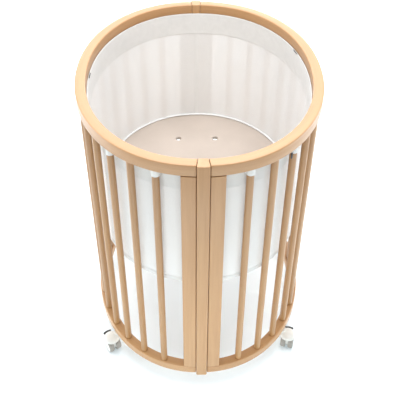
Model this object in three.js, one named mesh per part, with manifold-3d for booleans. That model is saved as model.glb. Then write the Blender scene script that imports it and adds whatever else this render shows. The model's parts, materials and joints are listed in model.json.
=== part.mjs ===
// An oval baby crib on four swivel casters, in millimetres, +Z up, standing on z = 0.
// The long axis runs along Y with the front post at -Y. The origin is on the floor under the middle.
// Two bent half frames of round slats meet at a front and a rear post. A fabric liner hangs inside
// them, round an oval mattress base that rests on a bracket at each end.
import * as THREE from 'three';
import { mergeVertices } from 'three/addons/utils/BufferGeometryUtils.js';
import Module from 'manifold-3d';

// Half frames
const WIDTH = 670; // over the rails, across X
const LENGTH = 838; // over the rails, along Y
const HEIGHT = 870;
const OVAL_POWER = 2.11; // 2 would be an ellipse, more is squarer
const RAIL_THICKNESS = 29;
const TOP_RAIL_HEIGHT = 33;
const BOTTOM_RAIL_HEIGHT = 28;
const RAIL_CLEARANCE = 66; // floor to the bottom rails
const RAIL_EASE = 2.5; // on the long edges of rails and posts
const STILE_EASE = 1.5;
const STILE_EDGE = 53.5; // a stile's far edge, from the middle of the post
const SLAT_DIAMETER = 19;
const SLATS_PER_SIDE = 14;
const FIRST_SLAT = 115; // along the oval, from the middle of the post to the first slat

// Posts
const POST_FACE_WIDTH = 32;
const POST_BACK_WIDTH = 24;
const POST_PROUD = 5; // the posts stand out of the rails' outer faces
const POST_DROP = 4; // and reach this far below the bottom rails
const POST_CORNER = 5;

// Mattress base, its brackets and the liner
const BASE_TOP = 458;
const BASE_THICKNESS = 12;
const VENT_DIAMETER = 19;
const VENT_X = 62;
const VENT_Y = 246;
const LINER_THICKNESS = 2.5;
const LINER_BOTTOM = 444;
const LINER_RISE = 5; // its top edge is tacked this far up the rails' inner faces
const LINER_PLAY = 0.5; // to the half frames outside it and to the base inside it
const BRACKET_HALF_WIDTH = 50;
const BRACKET_SHELF = 42; // how far the shelf reaches in from the stiles
const BRACKET_LEG = 40;
const BRACKET_SHEET = 3;
const BRACKET_TO_LINER = 1; // the shelf passes this far under the liner
const SEAT_TO_LINER = 2; // and the raised seat for the base starts this far inside it

// Casters
const CASTER_ARC = 315; // along the oval, from the middle of the nearer post to a caster
const CAP_OUTSET = 30; // the cap is centred this far outside the rails' middle line
const CAP_RADIUS = 25;
const CAP_BOTTOM = 44.5;
const CAP_RISE = 14;
const CAP_RECESS = { radius: 21, depth: 5.5 }; // hollow under the cap, for the swivel plate
const CAP_OUTLINE = [ // the dome from rim to top, as shares of its radius and its rise
  [0.96, 0], [1, 0.1], [1, 0.25], [0.9, 0.55], [0.7, 0.8], [0.4, 0.95], [0, 1],
];
const ARM_RADIUS = 11;
const ARM_OUTSET = 9;
const STEM_RADIUS = 3.5;
const STEM_LENGTH = 10.5; // above the bottom of the cap
const OVERLAP = 1; // solids that are joined into one body run this far into each other
const TRAIL = 5; // the axle trails the swivel axis by this much
const WHEEL_RADIUS = 21.5;
const WHEEL_WIDTH = 16;
const TREAD_EASE = { inner: 2, outer: 3 };
const DISH = { rim: 6, bottom: 7, depth: 1.2 }; // in a wheel's outer face, measured in from the tread
const WEB_WIDTH = 8; // the yoke's web between the twin wheels
const WEB_TOP = { back: -12, front: 14 };
const WEB_RADIUS = 13; // round the axle
const AXLE_RADIUS = 3;
const HUB_WALL = 3; // closes a wheel's bore on its outer side
const SWIVEL_PLATE = { radius: 15, bottom: 44, top: 49.5 };
const BRAKE_PIVOT = { x: -15, z: 38 };
const BRAKE_PIN_RADIUS = 1.5;
const BRAKE_LUG_RADIUS = 3.6;
const BRAKE_LUG_ROOT = -5; // where the lug runs into the web
const BRAKE_CHEEK = 2.2;
const BRAKE_CHEEK_RADIUS = 2.6;
const BRAKE_CHEEK_TOP = 43.3; // the cheeks pass under the cap
const BRAKE_PAD = { inner: 26.2, outer: 34.5, bottom: 39.5, top: 47.5, halfAngle: 0.4, ease: 1 };

// Gaps and mesh fineness
const GAP = 0.3; // between pieces that touch or turn in each other
const RAIL_STEPS = 32;
const STILE_STEPS = 3;
const ROUND_SEGMENTS = 24;
const SMALL_SEGMENTS = 16;

// Worked out from the dimensions above
const HALF_RAIL = RAIL_THICKNESS / 2;
const MIDDLE_X = WIDTH / 2 - HALF_RAIL; // half widths of the oval along the rails' middle line
const MIDDLE_Y = LENGTH / 2 - HALF_RAIL;
const TOP_RAIL_BOTTOM = HEIGHT - TOP_RAIL_HEIGHT;
const BOTTOM_RAIL_TOP = RAIL_CLEARANCE + BOTTOM_RAIL_HEIGHT;
const LINER_OUTER = -HALF_RAIL - LINER_PLAY;
const LINER_INNER = LINER_OUTER - LINER_THICKNESS;
const BASE_EDGE = LINER_INNER - LINER_PLAY;

const wasm = await Module();
wasm.setup();

const finish = (color, roughness, metalness = 0) =>
  new THREE.MeshStandardMaterial({ color, roughness, metalness });
const beech = finish(0xdcb083, 0.5);
const boardCream = finish(0xe8dacb, 0.6);
const meshFabric = finish(0xf2f0ec, 0.95);
const whitePlastic = finish(0xf2ede6, 0.4);
const greyTread = finish(0xa8a39b, 0.7);
const darkPlastic = finish(0x3a3835, 0.5);
const steel = finish(0xb4b6b8, 0.35, 0.9);

const crib = new THREE.Group();

// Adds one named piece to the crib, or to a turned group in it.
function add(name, geometry, material, parent = crib) {
  const mesh = new THREE.Mesh(geometry, material);
  mesh.name = name;
  parent.add(mesh);
  return mesh;
}

// The rails' middle line on the +X side, from the front post to the rear one, with its running length
const LINE_STEPS = 1440;
const line = [];
for (let i = 0; i <= LINE_STEPS; i++) {
  const angle = (Math.PI * i) / LINE_STEPS;
  const power = 2 / OVAL_POWER;
  const x = MIDDLE_X * Math.abs(Math.sin(angle)) ** power;
  const y = -MIDDLE_Y * Math.sign(Math.cos(angle)) * Math.abs(Math.cos(angle)) ** power;
  const last = line[i - 1];
  line.push({ x, y, arc: last ? last.arc + Math.hypot(x - last.x, y - last.y) : 0 });
}
const HALF_ARC = line[LINE_STEPS].arc;

// The place that is arc along the middle line and offset outside it.
function onOval(arc, offset = 0) {
  const i = Math.max(line.findIndex((p) => p.arc >= arc - 1e-9), 1);
  const [a, b] = [line[i - 1], line[i]];
  const t = (arc - a.arc) / (b.arc - a.arc);
  const x = a.x + (b.x - a.x) * t;
  const y = a.y + (b.y - a.y) * t;
  const outward = new THREE.Vector2(
    (Math.abs(x) / MIDDLE_X) ** (OVAL_POWER - 1) / MIDDLE_X,
    (Math.sign(y) * (Math.abs(y) / MIDDLE_Y) ** (OVAL_POWER - 1)) / MIDDLE_Y
  ).normalize();
  return new THREE.Vector2(x, y).addScaledVector(outward, offset);
}

// How far along the middle line the line at this offset reaches x.
function arcAtX(x, offset) {
  let [low, high] = [0, HALF_ARC / 4];
  for (let i = 0; i < 40; i++) {
    const middle = (low + high) / 2;
    if (onOval(middle, offset).x < x) low = middle;
    else high = middle;
  }
  return low;
}

// Points at one offset, evenly spaced from arc to arc.
function stretch({ from, to, offset }, steps) {
  return Array.from({ length: steps + 1 }, (_, i) => onOval(from + ((to - from) * i) / steps, offset));
}

// The same points on another side: side and end are 1 or -1.
const mirrored = (points, side, end) => points.map((p) => new THREE.Vector2(side * p.x, end * p.y));

// The whole oval at one offset, as a closed outline.
function ovalOutline(offset) {
  const right = stretch({ from: 0, to: HALF_ARC, offset }, RAIL_STEPS);
  return [...right, ...mirrored(right.slice(1, -1), -1, 1).reverse()];
}

// An outline stood up from bottom to top, with its top and bottom edges eased.
function standUp(outline, bottom, top, ease = 0, curveSegments = 6) {
  const shape = outline instanceof THREE.Shape ? outline : new THREE.Shape(outline);
  const geometry = new THREE.ExtrudeGeometry(shape, {
    depth: top - bottom - 2 * ease,
    bevelEnabled: ease > 0,
    bevelThickness: ease,
    bevelSize: ease,
    bevelOffset: -ease,
    bevelSegments: 1,
    curveSegments,
  });
  return geometry.translate(0, 0, bottom + ease);
}

// An outline drawn in X and Z, given a thickness centred on Y.
function standSideways(shape, width) {
  const options = { depth: width, bevelEnabled: false, curveSegments: 8 };
  return new THREE.ExtrudeGeometry(shape, options).rotateX(Math.PI / 2).translate(0, width / 2, 0);
}

// A round bar along Z from bottom to top, and one along Y centred on y = 0
function uprightBar(radius, bottom, top, segments = ROUND_SEGMENTS) {
  const bar = new THREE.CylinderGeometry(radius, radius, top - bottom, segments);
  return bar.rotateX(Math.PI / 2).translate(0, 0, (top + bottom) / 2);
}

function crossBar(radius, length, x, z) {
  return new THREE.CylinderGeometry(radius, radius, length, SMALL_SEGMENTS).translate(x, 0, z);
}

// A closed profile of [radius, height] pairs turned about the Y axis
function turned(profile) {
  return new THREE.LatheGeometry(profile.map(([r, y]) => new THREE.Vector2(r, y)), ROUND_SEGMENTS);
}

// A geometry as a solid that can be added and cut, and such a solid as a geometry again
function solid(geometry) {
  const bare = geometry.clone();
  bare.deleteAttribute('normal');
  bare.deleteAttribute('uv');
  const merged = mergeVertices(bare, 1e-3);
  const vertProperties = merged.attributes.position.array;
  const triVerts = new Uint32Array(merged.index.array);
  return new wasm.Manifold(new wasm.Mesh({ numProp: 3, vertProperties, triVerts }));
}

function geometryOf(body) {
  const mesh = body.getMesh();
  const geometry = new THREE.BufferGeometry();
  geometry.setAttribute('position', new THREE.BufferAttribute(mesh.vertProperties, 3));
  geometry.setIndex(new THREE.BufferAttribute(mesh.triVerts, 1));
  geometry.computeVertexNormals();
  return geometry;
}

const joined = (...geometries) => geometries.map(solid).reduce((all, next) => all.add(next));

// Rails: half ovals that end against the keystone posts
function railGeometry(side, bottom, top) {
  const edges = [[POST_FACE_WIDTH, HALF_RAIL], [POST_BACK_WIDTH, -HALF_RAIL]].map(([width, offset]) => {
    const from = arcAtX(width / 2 + GAP, offset);
    return stretch({ from, to: HALF_ARC - from, offset }, RAIL_STEPS);
  });
  const outline = [...edges[0], ...edges[1].reverse()];
  return standUp(mirrored(outline, side, 1), bottom, top, RAIL_EASE);
}

// Stiles: flat boards between the rails, beside the posts
function stileGeometry(side, end) {
  const edges = [[POST_FACE_WIDTH, HALF_RAIL], [POST_BACK_WIDTH, -HALF_RAIL]].map(([width, offset]) => {
    const from = arcAtX(width / 2 + GAP, offset);
    return stretch({ from, to: arcAtX(STILE_EDGE, offset), offset }, STILE_STEPS);
  });
  const outline = [...edges[0], ...edges[1].reverse()];
  return standUp(mirrored(outline, side, -end), BOTTOM_RAIL_TOP + GAP, TOP_RAIL_BOTTOM - GAP, STILE_EASE);
}

function addHalfFrame(side, sideName) {
  add(`top_rail_${sideName}`, railGeometry(side, TOP_RAIL_BOTTOM, HEIGHT), beech);
  add(`bottom_rail_${sideName}`, railGeometry(side, RAIL_CLEARANCE, BOTTOM_RAIL_TOP), beech);
  add(`stile_front_${sideName}`, stileGeometry(side, -1), beech);
  add(`stile_rear_${sideName}`, stileGeometry(side, 1), beech);
  const slats = stretch({ from: FIRST_SLAT, to: HALF_ARC - FIRST_SLAT, offset: 0 }, SLATS_PER_SIDE - 1);
  slats.forEach((place, i) => {
    const slat = uprightBar(SLAT_DIAMETER / 2, BOTTOM_RAIL_TOP + GAP, TOP_RAIL_BOTTOM - GAP);
    const number = String(i + 1).padStart(2, '0');
    add(`slat_${sideName}_${number}`, slat, beech).position.set(side * place.x, place.y, 0);
  });
}

// Posts: a keystone section, wide outside and narrow inside, with the two outer corners rounded
function postGeometry(end) {
  const outY = MIDDLE_Y + HALF_RAIL + POST_PROUD;
  const inY = MIDDLE_Y - HALF_RAIL;
  const half = POST_FACE_WIDTH / 2;
  const back = POST_BACK_WIDTH / 2;
  const shape = new THREE.Shape();
  shape.moveTo(-back, end * inY);
  shape.lineTo(-half, end * (outY - POST_CORNER));
  shape.quadraticCurveTo(-half, end * outY, -half + POST_CORNER, end * outY);
  shape.lineTo(half - POST_CORNER, end * outY);
  shape.quadraticCurveTo(half, end * outY, half, end * (outY - POST_CORNER));
  shape.lineTo(back, end * inY);
  shape.closePath();
  return standUp(shape, RAIL_CLEARANCE - POST_DROP, HEIGHT, RAIL_EASE);
}

// Mattress base: an oval board with a pair of vent holes near each end
function mattressBaseGeometry() {
  const board = new THREE.Shape(ovalOutline(BASE_EDGE));
  for (const x of [-VENT_X, VENT_X]) {
    for (const y of [-VENT_Y, VENT_Y]) {
      const vent = new THREE.Path();
      vent.absarc(x, y, VENT_DIAMETER / 2, 0, 2 * Math.PI, true);
      board.holes.push(vent);
    }
  }
  return standUp(board, BASE_TOP - BASE_THICKNESS, BASE_TOP);
}

// Liner: one fabric sleeve, open at the top and the bottom
function linerGeometry() {
  const sleeve = new THREE.Shape(ovalOutline(LINER_OUTER));
  sleeve.holes.push(new THREE.Path(ovalOutline(LINER_INNER)));
  return standUp(sleeve, LINER_BOTTOM, TOP_RAIL_BOTTOM + LINER_RISE);
}

// Base brackets: steel angles bent to the oval, fixed across both stiles, with the base on their shelf
function bracketGeometry(end) {
  const bar = (outer, inner, bottom, top) => {
    const [front, back] = [outer, inner].map((offset) => {
      const right = stretch({ from: 0, to: arcAtX(BRACKET_HALF_WIDTH, offset), offset }, STILE_STEPS);
      return [...mirrored(right.slice(1), -1, 1).reverse(), ...right];
    });
    return standUp(mirrored([...front, ...back.reverse()], 1, -end), bottom, top);
  };
  const outer = -HALF_RAIL - GAP;
  const inner = outer - BRACKET_SHELF;
  const seatTop = BASE_TOP - BASE_THICKNESS - GAP;
  const shelfTop = LINER_BOTTOM - BRACKET_TO_LINER;
  const shelfBottom = shelfTop - BRACKET_SHEET;
  const leg = bar(outer, outer - BRACKET_SHEET, seatTop - BRACKET_LEG, shelfTop);
  const shelf = bar(outer, inner, shelfBottom, shelfTop);
  const seat = bar(LINER_INNER - SEAT_TO_LINER, inner, shelfBottom, seatTop);
  return geometryOf(joined(leg, shelf, seat));
}

// Caster bracket: a domed cap that holds the swivel stem, on a short arm under the bottom rail
function casterBracketGeometry(cap, arm) {
  const recessTop = CAP_BOTTOM + CAP_RECESS.depth;
  const profile = [
    [0, recessTop],
    [CAP_RECESS.radius, recessTop],
    [CAP_RECESS.radius, CAP_BOTTOM],
    ...CAP_OUTLINE.map(([out, up]) => [out * CAP_RADIUS, CAP_BOTTOM + up * CAP_RISE]),
  ];
  const dome = turned(profile).rotateX(Math.PI / 2).translate(cap.x, cap.y, 0);
  const facing = new THREE.Vector2().subVectors(arm.end, arm.start).angle();
  const [left, right] = [facing + Math.PI / 2, facing + 1.5 * Math.PI];
  const slot = new THREE.Shape();
  slot.absarc(arm.start.x, arm.start.y, ARM_RADIUS, left, right, false);
  slot.absarc(arm.end.x, arm.end.y, ARM_RADIUS, right - 2 * Math.PI, left, false);
  slot.closePath();
  const block = standUp(slot, recessTop, RAIL_CLEARANCE - GAP);
  const boreTop = CAP_BOTTOM + STEM_LENGTH + GAP;
  const bore = uprightBar(STEM_RADIUS + GAP, CAP_BOTTOM, boreTop, SMALL_SEGMENTS);
  return geometryOf(joined(dome, block).subtract(solid(bore.translate(cap.x, cap.y, 0))));
}

// Yoke, in its own frame: the swivel axis is Z and the axle runs along Y at x = TRAIL.
function yokeGeometry(hasBrake) {
  const { radius, bottom, top } = SWIVEL_PLATE;
  const plate = uprightBar(radius, bottom, top);
  const stem = uprightBar(STEM_RADIUS, top - OVERLAP, CAP_BOTTOM + STEM_LENGTH, SMALL_SEGMENTS);
  const web = new THREE.Shape();
  web.moveTo(WEB_TOP.back, bottom + OVERLAP);
  web.lineTo(TRAIL - WEB_RADIUS, WHEEL_RADIUS);
  web.absarc(TRAIL, WHEEL_RADIUS, WEB_RADIUS, Math.PI, 2 * Math.PI, false);
  web.lineTo(WEB_TOP.front, bottom + OVERLAP);
  web.closePath();
  const axleLength = WEB_WIDTH + 2 * (WHEEL_WIDTH - HUB_WALL);
  const axle = crossBar(AXLE_RADIUS, axleLength, TRAIL, WHEEL_RADIUS);
  const yoke = joined(plate, stem, standSideways(web, WEB_WIDTH), axle);
  if (!hasBrake) return geometryOf(yoke);
  const { x, z } = BRAKE_PIVOT;
  const lug = new THREE.Shape();
  lug.moveTo(0, bottom + OVERLAP);
  lug.lineTo(x - BRAKE_LUG_RADIUS, bottom + OVERLAP);
  lug.absarc(x, z, BRAKE_LUG_RADIUS, Math.PI, 1.5 * Math.PI, false);
  lug.lineTo(BRAKE_LUG_ROOT, z - BRAKE_LUG_RADIUS);
  lug.closePath();
  const pinHole = crossBar(BRAKE_PIN_RADIUS + GAP, WEB_WIDTH + 2 * GAP, x, z);
  return geometryOf(yoke.add(solid(standSideways(lug, WEB_WIDTH))).subtract(solid(pinHole)));
}

// Brake lever: a curved pad on two cheeks that straddle the yoke's lug, with the pin through it
function brakeLeverGeometry() {
  const { x, z } = BRAKE_PIVOT;
  const { inner, outer, bottom, top, halfAngle, ease } = BRAKE_PAD;
  const shape = new THREE.Shape();
  shape.absarc(0, 0, outer, Math.PI - halfAngle, Math.PI + halfAngle, false);
  shape.absarc(0, 0, inner, Math.PI + halfAngle, Math.PI - halfAngle, true);
  shape.closePath();
  const pad = standUp(shape, bottom, top, ease, 10);
  const cheek = new THREE.Shape();
  cheek.absarc(x, z, BRAKE_CHEEK_RADIUS, -Math.PI / 2, Math.PI / 2, false);
  cheek.lineTo(-inner - 2 * OVERLAP, BRAKE_CHEEK_TOP);
  cheek.lineTo(-inner - 2 * OVERLAP, bottom + ease);
  cheek.closePath();
  const cheekOut = (WEB_WIDTH + BRAKE_CHEEK) / 2 + GAP;
  const cheeks = [-cheekOut, cheekOut].map((y) => standSideways(cheek, BRAKE_CHEEK).translate(0, y, 0));
  const pin = crossBar(BRAKE_PIN_RADIUS, 2 * cheekOut, x, z);
  return geometryOf(joined(pad, pin, ...cheeks));
}

// Wheel, about the Y axis with its inner face at y = 0: eased tread, dished face and blind bore
function wheelGeometry() {
  const boreRadius = AXLE_RADIUS + GAP;
  const boreDepth = WHEEL_WIDTH - HUB_WALL + GAP;
  return turned([
    [0, boreDepth],
    [boreRadius, boreDepth],
    [boreRadius, 0],
    [WHEEL_RADIUS - TREAD_EASE.inner, 0],
    [WHEEL_RADIUS, TREAD_EASE.inner],
    [WHEEL_RADIUS, WHEEL_WIDTH - TREAD_EASE.outer],
    [WHEEL_RADIUS - TREAD_EASE.outer, WHEEL_WIDTH],
    [WHEEL_RADIUS - DISH.rim, WHEEL_WIDTH],
    [WHEEL_RADIUS - DISH.bottom, WHEEL_WIDTH - DISH.depth],
    [0, WHEEL_WIDTH - DISH.depth],
  ]);
}

// A caster. heading is the way it trails, in degrees from +X.
function addCaster(side, end, name, heading, hasBrake) {
  const place = (outset) => mirrored([onOval(CASTER_ARC, outset)], side, -end)[0];
  const cap = place(CAP_OUTSET);
  const arm = { start: place(0), end: place(ARM_OUTSET) };
  add(`caster_bracket_${name}`, casterBracketGeometry(cap, arm), whitePlastic);
  const swivel = new THREE.Group();
  swivel.position.set(cap.x, cap.y, 0);
  swivel.rotation.z = THREE.MathUtils.degToRad(heading);
  crib.add(swivel);
  add(`caster_yoke_${name}`, yokeGeometry(hasBrake), whitePlastic, swivel);
  if (hasBrake) add(`brake_lever_${name}`, brakeLeverGeometry(), darkPlastic, swivel);
  for (const [hand, out] of [['a', 1], ['b', -1]]) {
    const wheel = add(`wheel_${name}_${hand}`, wheelGeometry(), greyTread, swivel);
    wheel.position.set(TRAIL, out * (WEB_WIDTH / 2 + GAP), WHEEL_RADIUS);
    wheel.rotation.z = out > 0 ? 0 : Math.PI;
  }
}

addHalfFrame(-1, 'left');
addHalfFrame(1, 'right');
add('post_front', postGeometry(-1), beech);
add('post_rear', postGeometry(1), beech);
add('mattress_base', mattressBaseGeometry(), boardCream);
add('fabric_liner', linerGeometry(), meshFabric);
add('base_bracket_front', bracketGeometry(-1), steel);
add('base_bracket_rear', bracketGeometry(1), steel);
addCaster(-1, -1, 'front_left', -58, true);
addCaster(1, -1, 'front_right', -105, true);
addCaster(-1, 1, 'rear_left', 160, false);
addCaster(1, 1, 'rear_right', 25, false);

export default crib;
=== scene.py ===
"""An oval baby crib on casters: fine wood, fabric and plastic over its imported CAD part.

Every length is in metres, in the frame of the CAD part: +Z up, the front post at -Y.
"""

import json
import math

import bmesh
import bpy
import numpy as np
from mathutils import Matrix, Vector


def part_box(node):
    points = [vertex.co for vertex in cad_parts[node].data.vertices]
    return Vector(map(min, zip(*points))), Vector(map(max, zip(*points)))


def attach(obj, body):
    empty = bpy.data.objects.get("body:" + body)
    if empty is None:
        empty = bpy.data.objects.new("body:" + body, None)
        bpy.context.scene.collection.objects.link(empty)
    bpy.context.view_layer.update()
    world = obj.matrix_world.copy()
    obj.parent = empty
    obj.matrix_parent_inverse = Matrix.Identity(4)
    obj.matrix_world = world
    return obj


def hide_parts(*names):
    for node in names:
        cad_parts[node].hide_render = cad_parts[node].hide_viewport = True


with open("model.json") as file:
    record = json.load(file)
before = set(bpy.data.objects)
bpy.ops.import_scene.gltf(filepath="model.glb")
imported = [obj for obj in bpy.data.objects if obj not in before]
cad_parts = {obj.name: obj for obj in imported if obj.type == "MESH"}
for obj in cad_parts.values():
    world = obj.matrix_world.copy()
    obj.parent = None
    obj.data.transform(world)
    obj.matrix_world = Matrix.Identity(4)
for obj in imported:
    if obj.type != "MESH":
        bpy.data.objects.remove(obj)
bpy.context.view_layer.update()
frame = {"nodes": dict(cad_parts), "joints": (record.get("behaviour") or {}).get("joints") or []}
MM = 0.001

# The half frames. Boxes give the sizes that they can, and the rest matches the CAD part.
OVAL_POWER = 2.11
RAIL_THICKNESS = 29 * MM
HALF_RAIL = RAIL_THICKNESS / 2
POST_PROUD = 5 * MM
MIDDLE_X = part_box("top_rail_right")[1][0] - HALF_RAIL
MIDDLE_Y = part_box("post_rear")[1][1] - POST_PROUD - HALF_RAIL
TOP_RAIL = (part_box("top_rail_right")[0][2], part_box("top_rail_right")[1][2])
BOTTOM_RAIL = (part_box("bottom_rail_right")[0][2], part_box("bottom_rail_right")[1][2])
RAIL_EDGE = 3.2 * MM
POST = (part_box("post_front")[0][2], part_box("post_front")[1][2])
POST_FACE_WIDTH = 32 * MM
POST_BACK_WIDTH = 24 * MM
STILE_EDGE = 53.5 * MM
SLAT_RADIUS = 9.5 * MM
SLATS_PER_SIDE = 14
FIRST_SLAT = 115 * MM
JOINT_GAP = 0.9 * MM
SEAM_EASE = 1.4 * MM
STILE_CORNER = 2 * MM
SLAT_CLEARANCE = 0.1 * MM
POST_CORNERS = (1.6 * MM, 2 * MM, 4.5 * MM, 4.5 * MM, 2 * MM, 1.6 * MM)
POST_EASE = 1.5 * MM

# The base
BASE = (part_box("mattress_base")[0][2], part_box("mattress_base")[1][2])
BASE_EDGE = -HALF_RAIL - 3.5 * MM
BASE_EASE = 1.2 * MM
VENT_RADIUS = 9.5 * MM
VENT_X = 62 * MM
VENT_Y = 246 * MM

# The liner and what is sewn to it. STRAP_SLATS counts from 0 at the front.
LINER = (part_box("fabric_liner")[0][2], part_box("fabric_liner")[1][2])
LINER_OFFSET = -HALF_RAIL - 1.7 * MM
LINER_WAVE = 0.8 * MM
MESH_PITCH = 2.6 * MM
HOLE_SHARE = 0.085
HOLE_BLUR = 0.04
SHEET_MARGIN = 1 * MM
HEM_HALF = 0.55 * MM
HEM_FOLD = 1.25 * HEM_HALF
HEM_EASE = 0.6 * MM
HEM_EDGE = 3 * MM
TOP_HEM = 70 * MM
BOTTOM_HEM = 14 * MM
REAR_SEAM = 12 * MM
REAR_SEAM_CORNER = 0.5 * MM
PIPING_RADIUS = 2.9 * MM
PIPING_LIFT = 0.4 * MM
STRAP_HEIGHT = 19 * MM
STRAP_HALF = 0.6 * MM
STRAP_PLAY = 0.3 * MM
STRAP_DROP = 0.8 * MM
STRAP_EASE = 0.4 * MM
STRAP_SLATS = (0, 2, 6, 7, 11, 13)
# A small dark block beside a strap: along, up and out.
STRAP_MARK = (5 * MM, 17 * MM, 2.6 * MM)
DARK_BLOCK_EASE = 0.6 * MM
STRAP_MARK_SLAT = 2
# The dark blocks at the sleeve's top edge are painted shade: they stand for the shadow in the gap between
# the top rail and the sleeve.
RAIL_GAP_SHADE = (26 * MM, 2.6 * MM, 2 * MM)
RAIL_GAP_SHADE_DEPTH = 3 * MM
RAIL_GAP_SHADE_PLACES = (("right", 9, 28 * MM), ("left", 7, 12 * MM))
STITCH_INSET = 3 * MM
STITCH_LENGTH = 3 * MM
STITCH_PITCH = 4.6 * MM
STITCH_RADIUS = 0.3 * MM
STITCH_SIDES = 6

# Casters
CASTER_ARC = 315 * MM
CAP_OUTSET = 30 * MM
CAP_RADIUS = 25 * MM
CAP_BOTTOM = 44.5 * MM
CAP_RISE = 14 * MM
CAP_RIM_SHARE = 0.12
CAP_EASE = 0.8 * MM
CAP_GROOVE_RADIUS = 7 * MM
CAP_GROOVE_HALF = 0.5 * MM
CAP_GROOVE_DEPTH = 0.45 * MM
CAP_RECESS = (21 * MM, 5.5 * MM)
CAP_RECESS_EASE = 0.4 * MM
ARM_RADIUS = 11 * MM
ARM_OUTSET = 9 * MM
ARM_EASE = 0.8 * MM
WHEEL_RADIUS = 21.5 * MM
WHEEL_WIDTH = 16 * MM
WHEEL_FROM_WEB = 4.3 * MM
TREAD_INNER = 17 * MM
TREAD_EASE = 1.2 * MM
TREAD_CORNER = 2 * MM
TREAD_SHOULDER = 3 * MM
TREAD_RIBS = 36
RIB_DEPTH = 1 * MM
DISC_PLAY = 0.1 * MM
DISC_BACK = 1 * MM
DISC_SUNK = 0.4 * MM
DISC_RIM = 1.2 * MM
DISC_DISH = 1.4 * MM
HUB_RADIUS = 5.4 * MM
HUB_SLOPE = 0.6 * MM
HUB_SUNK = 0.3 * MM
PIN_RADIUS = 2.2 * MM
PIN_SLOPE = 0.4 * MM
PIN_SUNK = 1 * MM

# Edges of the CAD nodes that stay
WELD_REACH = 0.01 * MM
YOKE_EDGE = 0.4 * MM
LEVER_EDGE = 0.5 * MM
STEEL_EDGE = 0.5 * MM

# The camera: its place, how far in degrees it looks down, to the right and rolled, and its lens
CAMERA_PLACE = (-0.0452, -1.6427, 1.8505)
CAMERA_ANGLES = (41.4995, 1.7423, 0.3907)
CAMERA_LENS = 62.19
CAMERA_SENSOR = 36
FLOOR_REACH = 30
SMOOTH_ANGLE = 40


# The rails' middle line: arc runs from the front post to the right and all the way round.
def half_line(steps=2880):
    """The right half of the middle line, as how far round each point is and its x and y."""
    angle = np.linspace(0, math.pi, steps + 1)
    power = 2 / OVAL_POWER
    x = MIDDLE_X * np.abs(np.sin(angle)) ** power
    y = -MIDDLE_Y * np.sign(np.cos(angle)) * np.abs(np.cos(angle)) ** power
    arc = np.concatenate(([0], np.cumsum(np.hypot(np.diff(x), np.diff(y)))))
    return arc, x, y


LINE_ARC, LINE_X, LINE_Y = half_line()
HALF_ARC = LINE_ARC[-1]


def outward_at(x, y):
    """The oval's unit outward direction at places on its middle line."""
    across = np.sign(x) * (np.abs(x) / MIDDLE_X) ** (OVAL_POWER - 1) / MIDDLE_X
    along = np.sign(y) * (np.abs(y) / MIDDLE_Y) ** (OVAL_POWER - 1) / MIDDLE_Y
    return np.stack([across, along], axis=-1) / np.hypot(across, along)[..., None]


def on_oval(arc, offset=0.0):
    """The places arc round the oval and offset outside its middle line, as an array of x and y."""
    arc = np.mod(arc, 2 * HALF_ARC)
    left = arc > HALF_ARC
    near = np.where(left, 2 * HALF_ARC - arc, arc)
    x = np.where(left, -1, 1) * np.interp(near, LINE_ARC, LINE_X)
    y = np.interp(near, LINE_ARC, LINE_Y)
    return np.stack([x, y], axis=-1) + outward_at(x, y) * np.asarray(offset)[..., None]


def arc_at_x(x, offset):
    """How far round from the front the line at this offset reaches x."""
    arcs = np.linspace(0, HALF_ARC / 4, 4000)
    return float(np.interp(x, on_oval(arcs, offset)[:, 0], arcs))


def slat_arcs():
    """How far round each slat of the right side stands."""
    return np.linspace(FIRST_SLAT, HALF_ARC - FIRST_SLAT, SLATS_PER_SIDE)


# Mesh building
def make_object(name, verts, faces, material, smooth_angle=SMOOTH_ANGLE, run=None):
    """A shown piece with one material. run gives each vertex its place along the grain or cloth."""
    mesh = bpy.data.meshes.new(name)
    mesh.from_pydata([tuple(v) for v in verts], [], faces)
    mesh.validate()
    bm = bmesh.new()
    bm.from_mesh(mesh)
    bmesh.ops.recalc_face_normals(bm, faces=bm.faces)
    bm.to_mesh(mesh)
    bm.free()
    mesh.shade_smooth()
    mesh.set_sharp_from_angle(angle=math.radians(smooth_angle))
    if run is not None:
        layer = mesh.attributes.new("run", "FLOAT_VECTOR", "POINT")
        layer.data.foreach_set("vector", np.asarray(run, np.float32).ravel())
    mesh.materials.append(material)
    obj = bpy.data.objects.new(name, mesh)
    bpy.context.scene.collection.objects.link(obj)
    return obj


def finish_piece(obj, body, slot, *nodes):
    """Puts a piece on its body, in place of any nodes named. slot is not used."""
    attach(obj, body)
    if nodes:
        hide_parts(*nodes)
    return obj


def loft(rings, closed=False):
    """Vertices and faces of a skin through equal rings of points, capped at its ends unless closed."""
    rings = np.asarray(rings, float)
    count, size = rings.shape[:2]
    faces = []
    for i in range(count if closed else count - 1):
        a = i * size
        b = (i + 1) % count * size
        for j in range(size):
            k = (j + 1) % size
            faces.append((a + j, a + k, b + k, b + j))
    if not closed:
        faces.append(tuple(reversed(range(size))))
        faces.append(tuple(range((count - 1) * size, count * size)))
    return rings.reshape(-1, 3), faces


def merge(parts):
    """Several (vertices, faces) as one."""
    verts, faces, start = [], [], 0
    for part_verts, part_faces in parts:
        verts.append(np.asarray(part_verts))
        faces.extend(tuple(start + i for i in face) for face in part_faces)
        start += len(part_verts)
    return np.concatenate(verts), faces


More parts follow.
